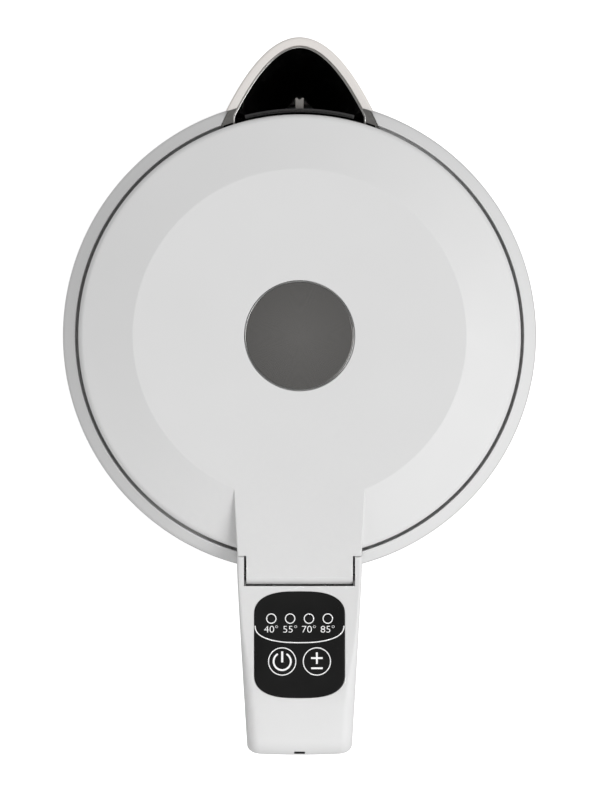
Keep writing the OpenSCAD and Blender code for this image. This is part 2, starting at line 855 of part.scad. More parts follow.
base_foot_ring();
base_bottom_cover();
base_top_cover();
base_connector();
base_contacts();
base_cord_inlet();
base_wires();
base_screws();
socket_body();
socket_contacts();
foot_cover();
foot_screws();
socket_retainer();
thermal_control();
power_board();
wire_harness();
bottom_bracket();
heating_element();
heating_plate();
temperature_sensor();
inner_pot();
pot_seal();
outer_shell();
collar();
spout_cover();
spout_liner();
filter_frame();
filter_mesh();
handle_shell();
handle_inner_cover();
handle_screws();
control_panel();
indicator_lights();
control_board();
button_switches();
hinge_pin();
hinge_spring();
lid_top();
lid_badge();
lid_badge_bezel();
lid_inner_plate();
lid_gasket();
lid_screws();
steam_vent();
power_button();
temp_button();
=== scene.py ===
"""Looks of a cordless electric kettle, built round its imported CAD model.

Lengths are in millimetres until a mesh is made, and in metres in Blender.
"""

import json
import math

import bmesh
import bpy
import numpy as np
from mathutils import Matrix, Vector


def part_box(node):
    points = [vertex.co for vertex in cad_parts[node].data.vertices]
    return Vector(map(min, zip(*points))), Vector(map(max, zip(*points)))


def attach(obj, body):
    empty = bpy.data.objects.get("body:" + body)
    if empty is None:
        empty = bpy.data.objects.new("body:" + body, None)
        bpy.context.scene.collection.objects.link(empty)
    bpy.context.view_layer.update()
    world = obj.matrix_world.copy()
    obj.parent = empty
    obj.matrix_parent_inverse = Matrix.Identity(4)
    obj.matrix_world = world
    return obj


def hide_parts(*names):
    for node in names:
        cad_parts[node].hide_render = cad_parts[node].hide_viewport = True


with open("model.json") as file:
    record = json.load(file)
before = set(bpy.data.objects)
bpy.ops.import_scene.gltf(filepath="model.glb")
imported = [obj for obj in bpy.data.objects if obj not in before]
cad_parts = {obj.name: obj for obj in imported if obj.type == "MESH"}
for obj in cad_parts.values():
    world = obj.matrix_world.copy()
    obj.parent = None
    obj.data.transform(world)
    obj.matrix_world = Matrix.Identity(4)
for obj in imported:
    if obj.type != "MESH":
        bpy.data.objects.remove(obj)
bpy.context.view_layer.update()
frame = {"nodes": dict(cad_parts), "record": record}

MM = 0.001


def box_mm(node):
    """Lowest and highest corner of a CAD node, in millimetres."""
    low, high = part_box(node)
    return low / MM, high / MM


# ---------- places, from the CAD model ----------

LID_LOW, LID_HIGH = box_mm("lid_top")
SHELL_LOW, SHELL_HIGH = box_mm("outer_shell")
COLLAR_HIGH = box_mm("collar")[1]
BADGE_LOW, BADGE_HIGH = box_mm("lid_badge_bezel")
BASE_LOW, BASE_HIGH = box_mm("base_top_cover")
HANDLE_LOW = box_mm("handle_shell")[0]
PANEL_LOW, PANEL_HIGH = box_mm("control_panel")
COVER_LOW, COVER_HIGH = box_mm("spout_cover")
PIN_LOW, PIN_HIGH = box_mm("hinge_pin")
POT_LOW, POT_HIGH = box_mm("inner_pot")

TOP = LID_HIGH.z  # the flat top of lid and handle

# ---------- sizes in millimetres ----------

# lid
LID_R = LID_HIGH.x
SKIRT_Z = LID_LOW.z
LID_WALL = 2.2
FLAT_R = 54.25  # the flat middle
LID_DROP = 5.0  # from the top to the edge
SLOPE = 17.2  # of the outer ring, in degrees
LID_EDGE_R = 2.4
BADGE_R = BADGE_HIGH.x + 0.02
BADGE_DEPTH = 1.2
VENT_Y = -40.0
LID_SCREW_AT = 46.0  # radius of the circle that the lid's screws stand on

# tongue from the lid to the hinge: half widths, and where they are
FRONT_W, FRONT_Y = 21.45, -50.3
REAR_W, REAR_Y = 20.2, -71.8
TAIL_W = 17.35

# hinge
HINGE_Y = (PIN_LOW.y + PIN_HIGH.y) / 2
HINGE_Z = (PIN_LOW.z + PIN_HIGH.z) / 2
PIN_BORE_R = 1.56
BARREL_R = TOP - HINGE_Z
TAIL_CORNER_R = BARREL_R + 0.42  # the tail's rear corner, which has to clear the recess
CHEEK_R = 6.15
SPRING_W = 5.6
SPRING_R = 3.1
RECESS_W = TAIL_W + 0.7
RECESS_Y = LID_LOW.y - 0.6
RECESS_Z = TOP - 14

# jug body
SHELL_TOP_Z = SHELL_HIGH.z
SHELL_TOP_R = COLLAR_HIGH.x + 0.3
SHELL_FOOT_R = SHELL_HIGH.x
SHELL_WIDE_Z = 30.0  # the shell draws in below this height
SHELL_LOW_R = 77.0
SHELL_WALL = 1.8
WIRE_Z = 58.0
SCREW_X, SCREW_ZS = 10, (62, TOP - 22)  # screws from the handle
COLLAR_R = COLLAR_HIGH.x
COLLAR_TOP_Z = COLLAR_HIGH.z
COLLAR_IN_R = 73.0
COLLAR_LOW_Z = COLLAR_TOP_Z - 3.4
COLLAR_RIB = (73.6, 74.8)  # radii of the rib inside the shell
LEDGE_Z = COLLAR_TOP_Z - 4.2
POT_R = 70.0
POT_WALL = 0.8
POT_CORNER = 8.0

# spout
SPOUT_TIP = COVER_HIGH.y
RIM_Z = COVER_HIGH.z
SPOUT_FOOT_Z = COVER_LOW.z
NOSE_R = 12.0  # radius of the tip in plan
RIM_ROOT_Y = 72.8
GAP_ROOT_Y = 67.0  # root of the gap in the collar
RIM_T = 3.6  # rim with cover and liner
COVER_T = 2.9
FOOT_SHRINK, FOOT_Y = 0.42, 66.0  # the spout's foot is the rim made smaller about a point
FILTER_R = 72.75
FILTER_T = 1.2
FILTER_HALF_A = 14.0  # in degrees

# handle
HANDLE_END = -HANDLE_LOW.y
ARM_Y = -60.0  # its arms are drawn from here, inside the body
HANDLE_WALL = 2.2
HANDLE_LOW_Z = 45.6
FINGER_LOW, FINGER_HIGH = 72.0, TOP - 32
REAR_A = 183.8  # direction square to the handle's rear face, in degrees
END_BOW = 0.8
GAP_EDGE_R = 1.8

# control panel
PANEL_T = PANEL_HIGH.z - PANEL_LOW.z + 0.02
PANEL_SIDE_Y = (-90.5, -110.5)  # ends of its straight sides
PANEL_TOP = TOP - 0.04
PRINT_TOP = TOP
PRINT_T = 0.1
BUTTON_X, BUTTON_Y, BUTTON_R = 5.64, -105.9, 4.65
LIGHT_Y, LIGHT_PITCH, LIGHT_R = -91.96, 6.12, 1.2
LIGHT_XS = [(i - 1.5) * LIGHT_PITCH for i in range(4)]
NUMERAL_Y, NUMERAL_W, NUMERAL_H = -95.55, 4.5, 2.3

# foot and base
INLET_Z = 9.0
FOOT_SCREW_AT = 62.0
BASE_SCREW_AT = 44.0
RING_R = (60.0, 67.0)  # rubber ring under the base
CONTACT_R = (7.25, 11.45)  # inner radii of the contact rings

FAR = 300.0  # well past the kettle, for cutting tools
ROUND = 224  # steps round a big circle


# ---------- mesh helpers ----------


def arc(centre, radius, start, end, steps=10):
    """Points on an arc in a plane, angles in degrees."""
    x, y = centre
    angles = [math.radians(start + (end - start) * i / steps) for i in range(steps + 1)]
    return [(x + radius * math.cos(a), y + radius * math.sin(a)) for a in angles]


def spots(radius, angles):
    """Places on a circle round the kettle's axis, at angles in degrees."""
    return [(radius * math.cos(a), radius * math.sin(a)) for a in np.radians(angles)]


def new_object(name, data):
    """An object in the scene."""
    obj = bpy.data.objects.new(name, data)
    bpy.context.scene.collection.objects.link(obj)
    return obj


def piece(name, points, faces, sharp=35.0):
    """A mesh object from points in millimetres, smooth except at edges sharper than the angle."""
    mesh = bpy.data.meshes.new(name)
    mesh.from_pydata([tuple(c * MM for c in p) for p in points], [], faces)
    obj = new_object(name, mesh)
    tidy(obj, sharp)
    return obj


def tidy(obj, sharp=35.0):
    """Merges doubles, turns the normals outwards and sets the shading."""
    bm = bmesh.new()
    bm.from_mesh(obj.data)
    bmesh.ops.remove_doubles(bm, verts=bm.verts, dist=1e-6)
    bmesh.ops.dissolve_degenerate(bm, edges=bm.edges, dist=1e-7)
    bmesh.ops.recalc_face_normals(bm, faces=bm.faces)
    bm.to_mesh(obj.data)
    bm.free()
    obj.data.shade_smooth()
    obj.data.set_sharp_from_angle(angle=math.radians(sharp))


def turned(name, profile, steps=ROUND, sharp=35.0):
    """A closed profile of (radius, height) turned round the kettle's axis."""
    points, faces, count = [], [], len(profile)
    for i in range(steps):
        a = 2 * math.pi * i / steps
        points += [(r * math.cos(a), r * math.sin(a), z) for r, z in profile]
    for i in range(steps):
        here, there = i * count, (i + 1) % steps * count
        for j in range(count):
            k = (j + 1) % count
            faces.append((here + j, there + j, there + k, here + k))
    return piece(name, points, faces, sharp)


def prism(name, outline, low, high, axis="z", sharp=35.0):
    """An outline made solid between two heights along z, or across the handle along x."""
    n = len(outline)
    at = {"z": lambda p, h: (*p, h), "x": lambda p, h: (h, *p)}[axis]
    points = [at(p, low) for p in outline] + [at(p, high) for p in outline]
    faces = [tuple(range(n)), tuple(range(n, 2 * n))]
    faces += [(i, (i + 1) % n, n + (i + 1) % n, n + i) for i in range(n)]
    return piece(name, points, faces, sharp)


def block(name, low, high):
    """A block between two opposite corners."""
    outline = [(low[0], low[1]), (high[0], low[1]), (high[0], high[1]), (low[0], high[1])]
    return prism(name, outline, low[2], high[2])


def use_modifier(obj, kind, **settings):
    """Adds a modifier and applies it to the mesh."""
    modifier = obj.modifiers.new(kind, kind)
    for key, value in settings.items():
        setattr(modifier, key, value)
    depsgraph = bpy.context.evaluated_depsgraph_get()
    mesh = bpy.data.meshes.new_from_object(obj.evaluated_get(depsgraph))
    obj.modifiers.clear()
    old = obj.data
    obj.data = mesh
    mesh.name = obj.name
    bpy.data.meshes.remove(old)


def combine(obj, operation, *others):
    """Applies a boolean operation to obj with each of the others, and removes them."""
    for other in others:
        use_modifier(obj, "BOOLEAN", object=other, operation=operation, solver="EXACT")
        bpy.data.objects.remove(other)
    tidy(obj)
    return obj


def cut(obj, *others):
    """Takes the others out of obj."""
    return combine(obj, "DIFFERENCE", *others)


def add(obj, *others):
    """Adds the others to obj."""
    return combine(obj, "UNION", *others)


def rod(name, radius, start, end, steps=48):
    """A round rod between two points."""
    a, b = Vector(start), Vector(end)
    turn = (b - a).to_track_quat("Z", "Y")
    points = []
    for end_point in (a, b):
        for i in range(steps):
            t = 2 * math.pi * i / steps
            points.append(end_point + turn @ Vector((radius * math.cos(t), radius * math.sin(t), 0)))
    faces = [tuple(range(steps)), tuple(range(steps, 2 * steps))]
    faces += [(i, (i + 1) % steps, steps + (i + 1) % steps, steps + i) for i in range(steps)]
    return piece(name, points, faces)


def upright(name, radius, low, high, at=(0, 0), steps=32):
    """An upright rod between two heights."""
    return rod(name, radius, (*at, low), (*at, high), steps)


def loft(name, rings, sharp=35.0):
    """A solid through rings of equally many points, capped at both ends."""
    n = len(rings[0])
    points = [p for ring in rings for p in ring]
    faces = [tuple(range(n)), tuple(range(len(points) - n, len(points)))]
    for i in range(len(rings) - 1):
        for j in range(n):
            k = (j + 1) % n
            faces.append((i * n + j, i * n + k, (i + 1) * n + k, (i + 1) * n + j))
    return piece(name, points, faces, sharp)


def moved(obj, x=0.0, y=0.0, z=0.0):
    """Shifts the mesh itself, in millimetres."""
    obj.data.transform(Matrix.Translation(Vector((x, y, z)) * MM))
    return obj


def joined(name, objects):
    """One object out of several separate ones."""
    bm = bmesh.new()
    for obj in objects:
        bm.from_mesh(obj.data)
        bpy.data.objects.remove(obj)
    mesh = bpy.data.meshes.new(name)
    bm.to_mesh(mesh)
    bm.free()
    result = new_object(name, mesh)
    tidy(result)
    return result


def soften(obj, width, segments=2, angle=40.0):
    """Rounds the sharp edges."""
    use_modifier(
        obj,
        "BEVEL",
        width=width * MM,
        segments=segments,
        limit_method="ANGLE",
        angle_limit=math.radians(angle),
        miter_outer="MITER_ARC",
    )
    tidy(obj, 50)
    return obj


# ---------- materials ----------


def new_material(name, color, roughness=0.5, metallic=0.0):
    """A plain material, its node tree and its shader."""
    material = bpy.data.materials.new(name)
    material.use_nodes = True
    shader = material.node_tree.nodes["Principled BSDF"]
    shader.inputs["Base Color"].default_value = (*color, 1.0)
    shader.inputs["Roughness"].default_value = roughness
    shader.inputs["Metallic"].default_value = metallic
    return material, material.node_tree, shader


def shader_node(tree, kind, **inputs):
    """A node whose inputs, with _ for a space, take values or other nodes' outputs."""
    node = tree.nodes.new("ShaderNode" + kind)
    for name, value in inputs.items():
        socket = node.inputs[name.replace("_", " ")]
        if isinstance(value, bpy.types.NodeSocket):
            tree.links.new(value, socket)
        else:
            socket.default_value = value
    return node


def noise(tree, scale, detail=2.0, stretch=None):
    """Noise in object space, in features per metre."""
    spot = shader_node(tree, "TexCoord").outputs["Object"]
    if stretch:
        spot = shader_node(tree, "Mapping", Vector=spot, Scale=stretch).outputs["Vector"]
    return shader_node(tree, "TexNoise", Vector=spot, Scale=scale, Detail=detail).outputs["Fac"]


def vary(tree, shader, texture, socket, low, high, span=(0.3, 0.7)):
    """Drives a shader socket between two values, over a span of the texture's own values."""
    limits = {"From_Min": span[0], "From_Max": span[1], "To_Min": low, "To_Max": high}
    node = shader_node(tree, "MapRange", Value=texture, **limits)
    tree.links.new(node.outputs["Result"], shader.inputs[socket])


def tint(tree, shader, texture, low, high, span=(0.3, 0.7)):
    """Mixes the base colour between two close colours with a texture."""
    ramp = shader_node(tree, "ValToRGB", Fac=texture)
    for element, position, color in zip(ramp.color_ramp.elements, span, (low, high)):
        element.position = position
        element.color = (*color, 1)
    tree.links.new(ramp.outputs["Color"], shader.inputs["Base Color"])


def bump(tree, shader, texture, depth):
    """Surface relief of a depth in millimetres."""
    node = shader_node(tree, "Bump", Height=texture, Strength=1.0, Distance=depth * MM)
    tree.links.new(node.outputs["Normal"], shader.inputs["Normal"])


def moulded(name, color, roughness, grain=0.006):
    """Moulded plastic: a faint satin grain, and gloss that wanders a little."""
    material, tree, shader = new_material(name, color, roughness)
    vary(tree, shader, noise(tree, 60, 3), "Roughness", roughness - 0.04, roughness + 0.05)
    tint(tree, shader, noise(tree, 25, 3), [c * 0.985 for c in color], [min(1, c * 1.01) for c in color])
    bump(tree, shader, noise(tree, 2600, 2), grain)
    return material


def metal(name, color, roughness, stretch=None, depth=0.003, spread=0.3):
    """Metal with a drawn or cast grain."""
    material, tree, shader = new_material(name, color, roughness, 1.0)
    grain = noise(tree, 900, 3, stretch)
    vary(tree, shader, grain, "Roughness", roughness * (1 - spread), roughness * (1 + spread))
    tint(tree, shader, noise(tree, 40, 3), [c * 0.94 for c in color], color)
    bump(tree, shader, grain, depth)
    return material


def spun_metal(name, color, roughness, edge=1.0, radius=66):
    """Metal with fine circles round the kettle's axis, as a lathe leaves it, with painted shade that darkens
    its colour towards the edge by the factor edge.
    """
    material, tree, shader = new_material(name, color, roughness, 1.0)
    spot = shader_node(tree, "TexCoord").outputs["Object"]
    shape = {"Scale": 900, "Distortion": 1.5, "Detail": 3, "Detail_Scale": 0.4}
    waves = shader_node(tree, "TexWave", Vector=spot, **shape)
    waves.wave_type = "RINGS"
    waves.rings_direction = "Z"
    vary(tree, shader, waves.outputs["Fac"], "Roughness", roughness * 0.85, roughness * 1.2, (0, 1))
    bump(tree, shader, waves.outputs["Fac"], 0.0008)
    flat = shader_node(tree, "Mapping", Vector=spot, Scale=(1, 1, 0))
    distance = shader_node(tree, "VectorMath", Vector=flat.outputs["Vector"])
    distance.operation = "LENGTH"
    # painted shade: the colour falls from the middle to edge times itself at the given radius
    painted_edge_shade = shader_node(tree, "MapRange", Value=distance.outputs["Value"], From_Max=radius * MM)
    tint(tree, shader, painted_edge_shade.outputs["Result"], color, [c * edge for c in color], (0, 1))
    return material


RECIPES = {  # by the record's material slots, then by use where a piece looks different
    "white_plastic": (moulded, (0.64, 0.64, 0.64), 0.52),
    "warm_plastic": (moulded, (0.69, 0.66, 0.635), 0.36),
    "black_plastic": (moulded, (0.022, 0.022, 0.022), 0.45),
    "panel_black": (moulded, (0.003, 0.003, 0.003), 0.3, 0.001),
    "light_lens": (moulded, (0.004, 0.004, 0.004), 0.28, 0.001),
    "grey_rubber": (moulded, (0.05, 0.05, 0.05), 0.8, 0.02),
    "silicone": (moulded, (0.72, 0.72, 0.70), 0.6, 0.004),
    "insulator": (moulded, (0.62, 0.57, 0.47), 0.6),
    "board_green": (moulded, (0.02, 0.13, 0.06), 0.4),
    "wire_red": (moulded, (0.35, 0.03, 0.025), 0.5),
    "spout_steel": (metal, (0.62, 0.61, 0.595), 0.16, (1, 1, 0.1)),
    "pot_steel": (metal, (0.6, 0.6, 0.59), 0.26, (1, 1, 0.3), 0.0001, 0.05),
    "small_steel": (metal, (0.6, 0.6, 0.6), 0.3),
    "plate_aluminium": (metal, (0.7, 0.7, 0.71), 0.5, None, 0.02),
    "contact_brass": (metal, (0.72, 0.52, 0.2), 0.25),
    "bezel_chrome": (metal, (0.36, 0.36, 0.355), 0.16, None, 0.0005),
    # the badge disc darkens to 0.82 of its colour at its edge: painted shade
    "badge_steel": (spun_metal, (0.32, 0.314, 0.306), 0.3, 0.82, 18),
    "panel_print": (moulded, (0.85, 0.85, 0.85), 0.5, 0.001),
    # the gap seal's grey is painted shade, tuned to the darkness of the gap between lid and collar
    "gap_seal": (moulded, (0.6, 0.6, 0.6), 0.7),
    "vent_plastic": (moulded, (0.62, 0.62, 0.6), 0.35),
    "tab_plastic": (moulded, (0.2, 0.19, 0.18), 0.4),
    "blackened_steel": (metal, (0.06, 0.06, 0.06), 0.45),
    "pressed_steel": (spun_metal, (0.6, 0.6, 0.6), 0.25),
}
LOOKS = {name: make(name, *values) for name, (make, *values) in RECIPES.items()}
gloss = LOOKS["panel_black"].node_tree.nodes["Principled BSDF"].inputs["Specular IOR Level"]
gloss.default_value = 0.38

DARK_STEEL_NODES = ("hinge_pin", "hinge_spring", "handle_screws")
for part in frame["record"]["subparts"]:
    look = "blackened_steel" if part["node"] in DARK_STEEL_NODES else part["material_slot"]
    materials = frame["nodes"][part["node"]].data.materials
    materials.clear()
    materials.append(LOOKS[look])


def place(obj, body, slot, *nodes, look=None, even=True):
    """Puts a finished piece on its CAD body, with its slot's look or another one."""
    if even:
        use_modifier(obj, "WEIGHTED_NORMAL", keep_sharp=True, weight=80)
    obj.data.materials.clear()
    obj.data.materials.append(LOOKS[look or slot])
    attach(obj, body)
    if nodes:
        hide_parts(*nodes)


# ---------- lid ----------

LID_EDGE = (LID_R - LID_EDGE_R, TOP - LID_DROP - 2.2)
LID_UNDER = [
    (LID_R - LID_WALL, TOP - LID_DROP - 4),
    (LID_R - 3.6, TOP - LID_DROP - LID_WALL),
    (FLAT_R - 0.4, TOP - LID_WALL),
]


def lid_profile():
    """Section of the lid: badge seat, flat top, sloping ring, rounded edge and skirt."""
    crease = 1.5
    half = crease * math.tan(math.radians(SLOPE / 2))
    return (
        [(0, TOP - LID_WALL), (0, TOP - BADGE_DEPTH), (BADGE_R, TOP - BADGE_DEPTH)]
        + arc((BADGE_R + 0.25, TOP - 0.25), 0.25, 180, 90, 4)
        + arc((FLAT_R - half, TOP - crease), crease, 90, 90 - SLOPE, 3)
        + arc(LID_EDGE, LID_EDGE_R, 90 - SLOPE, 0, 12)
        + arc((LID_R - 0.4, SKIRT_Z + 0.4), 0.4, 0, -90, 3)
        + [(LID_R - LID_WALL, SKIRT_Z)]
        + LID_UNDER
    )


def both_sides(half):
    """An outline in plan from its right half, given from front to rear."""
    return half + [(-x, y) for x, y in reversed(half)]


def hinge_rod(radius, low, high):
    """A rod on the hinge's axis between two places across the handle."""
    return rod("hinge_rod", radius, (low, HINGE_Y, HINGE_Z), (high, HINGE_Y, HINGE_Z), 64)


def build_lid():
    """The lid's cover with its tongue, and the barrel for pin and spring at the tongue's end."""
    dome = turned("lid_dome", lid_profile())
    plan = [(FRONT_W, FRONT_Y + 6), (FRONT_W, FRONT_Y), (REAR_W, REAR_Y), (TAIL_W - 0.8, REAR_Y)]
    tongue = prism("tongue", both_sides(plan), COLLAR_TOP_Z + 0.3, TOP)
    soften(tongue, 0.45, 3)
    hollow = [(0, SKIRT_Z - 1), (0, TOP - LID_WALL)] + LID_UNDER[::-1] + [(LID_UNDER[0][0], SKIRT_Z - 1)]
    cut(tongue, turned("hollow", hollow))
    square = math.degrees(math.acos(BARREL_R / TAIL_CORNER_R))
    barrel = arc((HINGE_Y, HINGE_Z), TAIL_CORNER_R, 90 + square, 180 - square, 16)
    barrel += arc((HINGE_Y, HINGE_Z), BARREL_R, 180, 360, 32)
    root = REAR_Y + 1.3
    tail = prism("tail", [(root, TOP)] + barrel + [(root, HINGE_Z)], -TAIL_W, TAIL_W, axis="x")
    soften(tail, 0.25, 2, 50)
    add(dome, tongue, tail)
    reach = CHEEK_R + 0.3
    cut(
        dome,
        hinge_rod(reach, TAIL_W, 30),
        hinge_rod(reach, -30, -TAIL_W),
        hinge_rod(PIN_BORE_R, -30, 30),
        hinge_rod(SPRING_R, -SPRING_W, SPRING_W),
        block("spring_room", (-SPRING_W, HINGE_Y - 6, HINGE_Z - 8), (SPRING_W, HINGE_Y + 4, HINGE_Z)),
    )
    return dome


def build_badge():
    """The plain round badge and the bright ring round it."""
    low, high = box_mm("lid_badge")
    disc = turned(
        "badge_disc",
        [(0, low.z), (high.x, low.z)] + arc((high.x - 0.2, high.z - 0.2), 0.2, 0, 90, 4) + [(0, high.z)],
    )
    place(disc, "lid", "badge_steel", "lid_badge")
    outer, inner = BADGE_R - 0.17, high.x + 0.09
    r = (outer - inner) / 2
    foot = [(inner, BADGE_LOW.z), (outer, BADGE_LOW.z)]
    ring = turned("badge_ring", foot + arc((inner + r, BADGE_HIGH.z - r), r, 0, 180, 8))
    place(ring, "lid", "bezel_chrome", "lid_badge_bezel")


def build_underside():
    """Pressed steel plate under the lid, with a raised bead, and its gasket."""
    low, high = box_mm("lid_inner_plate")
    z, r, t = low.z, high.x, 1.0
    plate = turned(
        "lid_plate",
        [(0, z), (26, z)]
        + arc((28, z + 0.8), 0.8, 250, 290, 6)
        + [(30, z), (54, z)]
        + arc((57, z + 0.9), 0.9, 250, 290, 6)
        + [(60, z)]
        + arc((r - 3, z + 3), 3, 270, 360, 8)
        + [(r, z + 6.5), (r - t, z + 6.5)]
        + arc((r - 3, z + 3), 3 - t, 360, 270, 6)
        + [(0, z + t)],
    )
    for at in spots(LID_SCREW_AT, (45, 135, 225, 315)):
        add(plate, upright("boss", 3, z + 0.5, z + 6.7, at))
        cut(plate, upright("hole", 1.5, z - 2, z + 8, at))
    cut(plate, upright("vent_hole", 7.0, z - 2, z + 8, (0, VENT_Y), 48))
    place(plate, "lid", "small_steel", "lid_inner_plate", look="pressed_steel")
    low, high = box_mm("lid_gasket")
    r = high.x
    gasket = turned(
        "lid_seal",
        [(r - 2.15, high.z), (r - 2.15, low.z + 0.6)]
        + arc((r - 0.3, low.z + 0.3), 0.3, 250, 430, 8)
        + [(r - 1.2, low.z + 1.7), (r - 1.2, low.z + 2.2), (r - 0.5, low.z + 2.5), (r - 0.5, low.z + 2.8)]
        + [(r - 1.2, low.z + 3.0), (r - 1.2, high.z)],
    )
    place(gasket, "lid", "silicone", "lid_gasket")


def build_vent():
    """The cap over the steam hole, with five slots."""
    low, high = box_mm("steam_vent")
    flange = high.x
    cap = turned(
        "vent_cap",
        [(0, low.z), (flange - 0.6, low.z)]
        + arc((flange - 0.5, low.z + 0.5), 0.5, 270, 360, 4)
        + arc((flange - 0.5, low.z + 1.0), 0.5, 0, 90, 4)
        + [(6.8, low.z + 1.5), (6.8, high.z - 0.5), (6.3, high.z), (0, high.z)],
        64,
    )
    moved(cap, y=VENT_Y)
    for i in range(-2, 3):
        half = 4.4 - 0.35 * i * i
        corners = (2 * i - 0.5, VENT_Y - half, low.z - 1), (2 * i + 0.5, VENT_Y + half, high.z + 1)
        cut(cap, block("slot", *corners))
    soften(cap, 0.15, 1)
    place(cap, "lid", "silicone", "steam_vent", look="vent_plastic")


place(build_lid(), "lid", "white_plastic", "lid_top")
build_badge()
build_underside()
build_vent()


# ---------- jug body ----------


def rim_point(u, inset):
    """A point of the spout's rim: a curve parallel to a parabola."""
    slant = math.hypot(u / NOSE_R, 1)
    x, y = u, SPOUT_TIP - u * u / (2 * NOSE_R)
    return x - inset * u / NOSE_R / slant, y - inset / slant


def rim_outline(inset, root=RIM_ROOT_Y, steps=32):
    """Plan of the spout, from its root round the tip. The gap in the collar has a deeper root."""
    reach = math.sqrt(2 * NOSE_R * (SPOUT_TIP - root))
    back = [(reach + 0.6 - inset, 60.0)]
    curve = [rim_point(reach * i / steps, inset) for i in range(steps, -steps - 1, -1)]
    return back + curve + [(-back[0][0], back[0][1])]


def beak(name, inset, lip):
    """The beak as a loft from its foot to the rim. The lip lists height and inset near the rim."""
    levels = [(SPOUT_FOOT_Z, FOOT_SHRINK, 0.0), (SPOUT_FOOT_Z + 2, FOOT_SHRINK, 0.0), (RIM_Z - 4, 1.0, 0.0)]
    rings = []
    for z, shrink, extra in levels + [(z, 1.0, extra) for z, extra in lip]:
        outline = rim_outline(inset + extra)
        rings.append([(x * shrink, FOOT_Y + (y - FOOT_Y) * shrink, z) for x, y in outline])
    return loft(name, rings)


def body_solid(gap):
    """The jug's body with its collar as one solid, grown by a gap."""
    wide, narrow = SHELL_FOOT_R + gap, SHELL_TOP_R + gap
    profile = [(0, 0), (wide, 0), (wide, SHELL_WIDE_Z), (narrow, SHELL_TOP_Z)]
    profile += [(narrow, COLLAR_LOW_Z + gap), (COLLAR_IN_R + gap, COLLAR_TOP_Z + gap)]
    return turned("body", profile + [(0, COLLAR_TOP_Z + gap)])


def build_spout():
    """The spout's moulded cover with its rounded lip, and the steel channel in it."""
    lip_r = 0.9
    lip = [
        (RIM_Z - lip_r + lip_r * math.sin(math.radians(a)), lip_r - lip_r * math.cos(math.radians(a)))
        for a in range(0, 91, 15)
    ]
    cover = beak("spout_skin", 0, lip)
    bore = beak("bore", COVER_T - 0.05, [(RIM_Z - 0.4, 0), (RIM_Z - 0.1, -0.12), (RIM_Z + 1, -0.5)])
    cut(cover, bore, body_solid(0.1), upright("tube", SHELL_TOP_R + 0.1, 0, FAR, steps=ROUND))
    place(cover, "jug", "warm_plastic", "spout_cover")
    top = box_mm("spout_liner")[1].z
    r = (RIM_T - COVER_T) / 2
    turn = [math.radians(a) for a in (0, 20, 40, 60, 75)]
    lip = [(top - r + r * math.sin(t), r - r * math.cos(t)) for t in turn]
    liner = beak("spout_channel", COVER_T, lip)
    flange = prism("flange", rim_outline(0.75, GAP_ROOT_Y), RIM_Z - 1.3, RIM_Z - 0.5)
    combine(flange, "INTERSECT", upright("bound", SHELL_TOP_R, 0, FAR, steps=ROUND))
    add(liner, flange)
    cut(
        liner,
        beak("inside", RIM_T, [(z, -w) for z, w in lip] + [(RIM_Z + 1, -lip[-1][1])]),
        upright("pot_room", POT_R + 0.1, 0, FAR, steps=ROUND),
        upright("lid_room", COLLAR_IN_R - 0.3, SKIRT_Z - 0.5, FAR, steps=ROUND),
    )
    place(liner, "jug", "spout_steel", "spout_liner")


def build_shell():
    """The outer shell, with holes for the spout, the wires and the handle's screws."""
    low = SHELL_LOW.z
    shell = turned(
        "shell_skin",
        [(SHELL_LOW_R, low), (SHELL_LOW_R + 0.4, low + 0.3), (SHELL_FOOT_R, SHELL_WIDE_Z)]
        + [(SHELL_TOP_R, SHELL_TOP_Z - 0.3), (SHELL_TOP_R - 0.3, SHELL_TOP_Z)]
        + [(SHELL_TOP_R - SHELL_WALL, SHELL_TOP_Z), (SHELL_FOOT_R - SHELL_WALL, SHELL_WIDE_Z)]
        + [(SHELL_LOW_R - 1.2, low)],
    )
    cut(shell, beak("mouth", COVER_T - 0.05, [(RIM_Z + 1, 0)]))
    cut(shell, rod("wire_hole", 4, (0, -90, WIRE_Z), (0, -60, WIRE_Z)))
    for x in (-SCREW_X, SCREW_X):
        for z in SCREW_ZS:
            cut(shell, rod("screw_hole", 1.6, (x, -90, z), (x, -60, z), 32))
    place(shell, "jug", "white_plastic", "outer_shell")


def build_collar():
    """The sloping ring round the lid, with a rib that fits inside the shell."""
    inner, outer = COLLAR_RIB
    profile = (
        [(POT_R + 0.3, LEDGE_Z), (COLLAR_IN_R, LEDGE_Z)]
        + arc((COLLAR_IN_R + 0.25, COLLAR_TOP_Z - 0.25), 0.25, 180, 60, 5)
        + arc((COLLAR_R - 0.5, COLLAR_LOW_Z - 0.2), 0.5, 45, 0, 4)
        + [(COLLAR_R, SHELL_TOP_Z + 0.25), (COLLAR_R - 0.2, SHELL_TOP_Z + 0.05), (outer, SHELL_TOP_Z + 0.05)]
        + [(outer, SHELL_TOP_Z - 4), (inner, SHELL_TOP_Z - 4)]
        + [(inner, LEDGE_Z - 1.2), (POT_R + 0.3, LEDGE_Z - 1.2)]
    )
    collar = turned("collar_ring", profile)
    cut(collar, prism("gap", rim_outline(0.6, GAP_ROOT_Y), SHELL_TOP_Z - 6, RIM_Z + 20))
    place(collar, "jug", "white_plastic", "collar")


def build_gap_shade_seal():
    """Grey soft ring on the collar's ledge, below the lid's skirt. Its grey is painted shade, tuned to the
    darkness of the gap between lid and collar.
    """
    outer, inner, low, high = COLLAR_IN_R - 0.02, POT_R + 0.8, LEDGE_Z - 0.02, LEDGE_Z + 0.3
    profile = [(inner, low), (outer, low), (outer, high), (inner + 0.4, high), (inner, LEDGE_Z + 0.1)]
    seal = turned("gap_seal", profile)
    cut(seal, prism("gap", rim_outline(0.6, GAP_ROOT_Y), LEDGE_Z - 6, RIM_Z + 20))
    place(seal, "jug", "grey_rubber", look="gap_seal")


